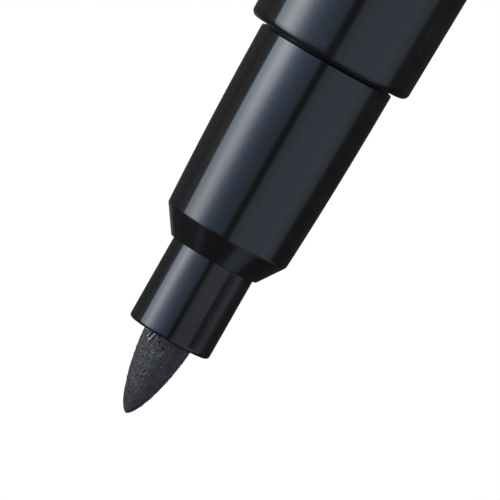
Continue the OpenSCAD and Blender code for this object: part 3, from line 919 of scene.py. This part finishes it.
def frayed_fibres(finish, dim_stray):
    """A pulled loop and stray ends beside it, just outside the collar. Those right of the loop are duller."""
    loops = [
        # thickness, then bearing, how far out of the collar, and lift of each point
        (0.090, [(44.5, -0.1, 0.01), (44, 0.12, 0.05), (43.7, 0.34, 0.06), (44.3, 0.52, 0.06),
                 (47.5, 0.66, 0.03), (51, 0.69, -0.01)]),
        (0.150, [(30, -0.1, 0.0), (30.6, 0.12, 0.06), (32, 0.34, 0.09), (33.8, 0.56, 0.11),
                 (35, 0.74, 0.11), (37.5, 0.81, 0.08), (40.5, 0.78, 0.04), (42.5, 0.71, 0.0)]),
        (0.060, [(80, 0.10, -0.01), (72, 0.15, 0.02), (62, 0.17, 0.02), (52, 0.16, 0.02), (45, 0.13, -0.01)]),
        (0.160, [(23.5, -0.1, 0.0), (23.3, 0.15, 0.02), (23.1, 0.45, 0.03), (23.5, 0.8, 0.02),
                 (24.3, 1.2, -0.03)]),
        (0.120, [(20, -0.1, 0.0), (20.3, 0.2, 0.02), (20.7, 0.5, 0.02), (20.5, 0.8, -0.02)]),
        (0.080, [(12.3, 0.92, -0.01), (11.2, 1.0, 0.03), (9.8, 1.08, 0.03), (8.7, 1.18, -0.01)]),
        (0.045, [(-30, 0.46, -0.01), (-42, 0.42, 0.015), (-55, 0.42, 0.015), (-68, 0.46, -0.01)]),
    ]
    dull_below = 28
    bm = bmesh.new()
    for thickness, loop in loops:
        strand(bm, [on_nib(bearing, MOUTH_Z + out, lift) for bearing, out, lift in loop], thickness, 8)
    inner = dim_stray, lambda middle: math.degrees(math.atan2(middle.x, -middle.y)) < dull_below
    return piece("frayed_fibres", bm, finish, "nib", sharp=80, inner=inner)


# ---------------------------------------------------------------- studio

CARD_R = 20                        # the card beside the collar: its radius about the pen's axis
CARD_EDGE = 112                    # and the turn of either end, in degrees


def studio_world():
    """A white backdrop for the eye, and softboxes for what the pen reflects and is lit by.

    A turn of 0 degrees points at the camera's side, -Y, and positive turns go to -X, the picture's right.
    Heights are in degrees above the horizon.
    """
    world = bpy.data.worlds.new("studio")
    scene.world = world
    world.use_nodes = True
    n = Nodes(world.node_tree)
    coords = n.new("ShaderNodeTexCoord")
    split = n.new("ShaderNodeSeparateXYZ")
    n.link(coords.outputs["Generated"], split.inputs[0])
    turn = n.turn(split)
    height = n.math("MULTIPLY", n.math("ARCSINE", split.outputs[2]), math.degrees(1))
    above_floor = n.fade(height, -70, -60)

    # Key softbox, on the left: sharp outer edge, brightest a little inside it, fading towards the camera. Its
    # light falls off upwards, and is stronger low down.
    key_from, key_to, peak = -100.0, 0.0, 8.0
    across = n.new("ShaderNodeMapRange")
    across.inputs["From Min"].default_value = key_from
    across.inputs["From Max"].default_value = key_to
    n.link(turn, across.inputs["Value"])
    key_colours = [(-92, (2.5, 3.05, 3.6)), (-84, (2.7, 3.2, 3.9)), (-70, (5.7, 5.7, 6.1)),
                   (-60, (4.3, 4.4, 5.0)), (-50, (1.70, 2.05, 2.70)), (-41, (0.84, 1.08, 1.52)),
                   (-31, (0.48, 0.68, 1.06)), (-20, (0.35, 0.50, 0.77)), (-8, (0.27, 0.35, 0.49))]
    stops = [((at - key_from) / (key_to - key_from), tuple(level / peak for level in colour))
             for at, colour in key_colours]
    key_light = n.product(n.window(turn, -91.2, -6.0, 3.0, 5.0), above_floor, n.fade(height, 58, 7),
                          n.fade(height, 6.0, 3.2, 1.0, 1.42), peak)
    key = n.tint(n.ramp(across.outputs["Result"], stops), key_light)

    # The key's dim upper rim, which only the cone shows.
    rim = n.tint((0.17, 0.185, 0.26), n.product(n.window(turn, -86, -44, 14), n.window(height, 50, 64.5, 5)))

    # Dim panel on the right, darker towards both its sides and its top.
    fill_light = n.product(n.window(turn, 6.0, 95, 5.0, 6.0), n.window(height, -65, 67.8, 10, 4),
                           n.fade(turn, 5, 30, 0.72, 1.0), n.fade(turn, 72, 94, 1.0, 0.52),
                           n.fade(height, 10, 60, 1.0, 0.58))
    fill = n.tint((0.60, 0.72, 0.92), fill_light)

    # What is left of the room: a faint wash past the key's outer edge, and little on the right.
    wash = n.product(n.fade(turn, -118, -97, 0.085, 0.26), n.fade(turn, -91, -93),
                     n.fade(turn, -150, -125, 0.5, 1.0), n.fade(height, 26, 12, 0.25, 1.0))
    wash_rear = n.product(n.fade(height, 9, 15), n.fade(turn, -145, -160, 0.0, 0.11))
    wash = n.tint((0.95, 0.95, 1.05), n.math("ADD", wash, wash_rear))
    dusk = n.product(n.fade(turn, 115, 96, 0.0, 0.045), n.fade(turn, 80, 96))
    dusk = n.tint((0.95, 0.98, 1.0), n.math("ADD", dusk, 0.036))

    # Softboxes behind the pen, below all that this camera sees in it: other cameras find them in the gloss.
    rear_middle = 25.0
    off_front = n.math("ABSOLUTE", n.math("ADD", turn, -rear_middle))
    off_rear = n.math("ABSOLUTE", n.math("SUBTRACT", off_front, 180.0))
    below = n.fade(height, 1.0, -2.5)
    rear_key = n.tint((1.0, 1.0, 1.04), n.product(n.fade(off_rear, 48, 8, 0.0, 5.5), above_floor, below))
    rear_light = n.product(n.window(turn, 104, 162, 10), n.fade(turn, 104, 160, 2.6, 0.9), below)
    rear_fill = n.tint((0.84, 0.92, 1.06), rear_light)
    total = n.add(key, rim, fill, wash, dusk, rear_key, rear_fill)

    path = n.new("ShaderNodeLightPath")
    lit = n.new("ShaderNodeBackground")
    n.link(total, lit.inputs["Color"])
    white = n.new("ShaderNodeBackground")
    white.inputs["Color"].default_value = (1, 1, 1, 1)
    choose = n.new("ShaderNodeMixShader")
    n.link(path.outputs["Is Camera Ray"], choose.inputs[0])
    n.link(lit.outputs[0], choose.inputs[1])
    n.link(white.outputs[0], choose.inputs[2])
    out = n.new("ShaderNodeOutputWorld")
    n.link(choose.outputs[0], out.inputs["Surface"])


def stage_mesh(name, bm, finish):
    """Turns a mesh in the making into an object with this finish, linked into the scene and attached to no
    body of the pen.
    """
    mesh = bpy.data.meshes.new(name)
    bm.to_mesh(mesh)
    bm.free()
    mesh.materials.append(finish)
    made = bpy.data.objects.new(name, mesh)
    scene.collection.objects.link(made)
    return made


def studio_floor():
    """Floor for the eye and for shadows. The pen's gloss doesn't show it."""
    side, steps = 12.0, 24
    bm = bmesh.new()
    bmesh.ops.create_grid(bm, x_segments=steps, y_segments=steps, size=side / 2)
    floor = stage_mesh("studio_floor", bm, floor_paper_glow())
    floor.visible_glossy = False


def card_light():
    """What the collar's gloss shows of the card: its glow is added to what is let through from behind."""
    made, n = material("collar_card")
    split = n.new("ShaderNodeSeparateXYZ")
    n.link(n.place(), split.inputs[0])
    across = n.math("MULTIPLY_ADD", n.turn(split), 0.5 / CARD_EDGE, 0.5)

    def stops(levels, tint):
        return [((turn / CARD_EDGE + 1) / 2, tuple(level * part for part in tint)) for turn, level in levels]

    # Turn and brightness: the right half, then the left half beside the cone and beside the mouth.
    right = [(4, 0), (4.5, 0.04), (8, 0.36), (13, 0.50), (22, 0.57), (49, 0.57), (52, 0.13), (58, 0.12),
             (67, 0.24), (75, 0.37), (80, 0.46), (86, 0.44), (94, 0.20), (100, 0.08), (112, 0.05)]
    by_cone = [(-91, 0), (-84, 0.60), (-76, 0.45), (-67, 0.42), (-60, 0.2), (-52, 0)]
    by_mouth = [(-56, 0), (-50, 0.2), (-45, 0.5), (-38, 0.42), (-31.6, 0.24), (-25, 0.15), (-18, 0)]
    blue = 0.92, 1.0, 1.22
    towards_mouth = n.fade(split.outputs[2], (COLLAR_Z + 3.5) * MM, (MOUTH_Z + 0.5) * MM)
    near_cone = n.ramp(across, stops(by_cone + right, blue))
    near_mouth = n.ramp(across, stops(by_mouth + right, blue))
    glow = n.tint(n.mix(towards_mouth, near_cone, near_mouth), n.fade(towards_mouth, 0.0, 1.0, 1.05, 0.95))
    dimmed = [(-84, 1), (-76, 0.82), (-60, 0.86), (-52, 0.80), (-42, 0.84), (-34, 1), (4, 1), (4.5, 0)]
    through = n.ramp(across, stops(dimmed, (1, 1, 1)))

    shine, clear, both = (n.new("ShaderNode" + kind) for kind in ("Emission", "BsdfTransparent", "AddShader"))
    n.link(glow, shine.inputs["Color"])
    n.link(through, clear.inputs["Color"])
    n.link(shine.outputs[0], both.inputs[0])
    n.link(clear.outputs[0], both.inputs[1])

    # Nothing that passes nearer to the card than the collar shows it, such as the barrel of a lifted pen.
    path = n.new("ShaderNodeLightPath")
    gap = CARD_R - COLLAR_R
    far = n.fade(path.outputs["Ray Length"], (gap - 0.15) * MM, (gap - 0.05) * MM)
    unseen, choose = n.new("ShaderNodeBsdfTransparent"), n.new("ShaderNodeMixShader")
    n.link(far, choose.inputs[0])
    n.link(unseen.outputs[0], choose.inputs[1])
    n.link(both.outputs[0], choose.inputs[2])
    out = n.new("ShaderNodeOutputMaterial")
    n.link(choose.outputs[0], out.inputs["Surface"])
    return made


def collar_card():
    """A curved screen beside the collar, seen only in its gloss: it dims the key and stands for the fill."""
    steps = 72
    low_z, high_z = COLLAR_Z + 1.2, MOUTH_Z + 1.6
    bm = bmesh.new()
    columns = []
    for i in range(steps + 1):
        angle = math.radians(CARD_EDGE * (2 * i / steps - 1))
        x, y = -CARD_R * math.sin(angle), -CARD_R * math.cos(angle)
        columns.append([bm.verts.new(Vector((x, y, z)) * MM) for z in (low_z, high_z)])
    for column, after in zip(columns, columns[1:]):
        bm.faces.new((column[0], after[0], after[1], column[1]))
    card = stage_mesh("collar_card", bm, card_light())
    for kind in ("camera", "diffuse", "shadow", "transmission", "volume_scatter"):
        setattr(card, "visible_" + kind, False)


def camera():
    """The photograph's view. The pen leans in the picture because the camera is rolled."""
    data = bpy.data.cameras.new("camera")
    cam = bpy.data.objects.new("camera", data)
    scene.collection.objects.link(cam)
    spot = Vector((0, -CAMERA_DISTANCE, NIB_TIP_Z - CAMERA_BEHIND_TIP)) * MM
    target = Vector((AIM_SIDE, 0, NIB_TIP_Z - AIM_BEHIND_TIP)) * MM
    forward = (target - spot).normalized()
    barrel_way = Vector((0, 0, -1))
    level_up = (barrel_way - forward * forward.dot(barrel_way)).normalized()
    level_right = forward.cross(level_up)
    up = level_up * math.cos(AXIS_LEAN) - level_right * math.sin(AXIS_LEAN)
    right = forward.cross(up)
    turn = Matrix((right, up, -forward)).transposed()
    cam.matrix_world = Matrix.Translation(spot) @ turn.to_4x4()
    data.sensor_width = 36
    data.lens = data.sensor_width * (target - spot).length / (FIELD * MM)
    data.clip_start = 0.01
    data.clip_end = 30
    scene.camera = cam


# ---------------------------------------------------------------- making it all

scene.view_settings.view_transform = "Standard"
scene.view_settings.look = "None"
camera()
studio_world()
studio_floor()
collar_card()

finishes = {
    "body_black": gloss_black(),
    "holder_black": satin_black(),
    "liner_grey": liner_grey(),
    "nib_fibre": nib_felt(),
    "reservoir_fibre": reservoir_fibre(),
    "reservoir_film": clear_film(),
}
for sub in record["subparts"]:
    node = frame["nodes"][sub["node"]]
    node.data.materials.clear()
    node.data.materials.append(finishes[sub["material_slot"]])

barrel(finishes["body_black"])
grip_section(finishes["body_black"], seam_painted_shade())
cap(finishes["body_black"])
clip(finishes["body_black"])
tail(finishes["body_black"])
brush_nib(finishes["nib_fibre"])
surface_fibres(single_fibre())
frayed_fibres(pale_fibre(), dim_stray_fibre())
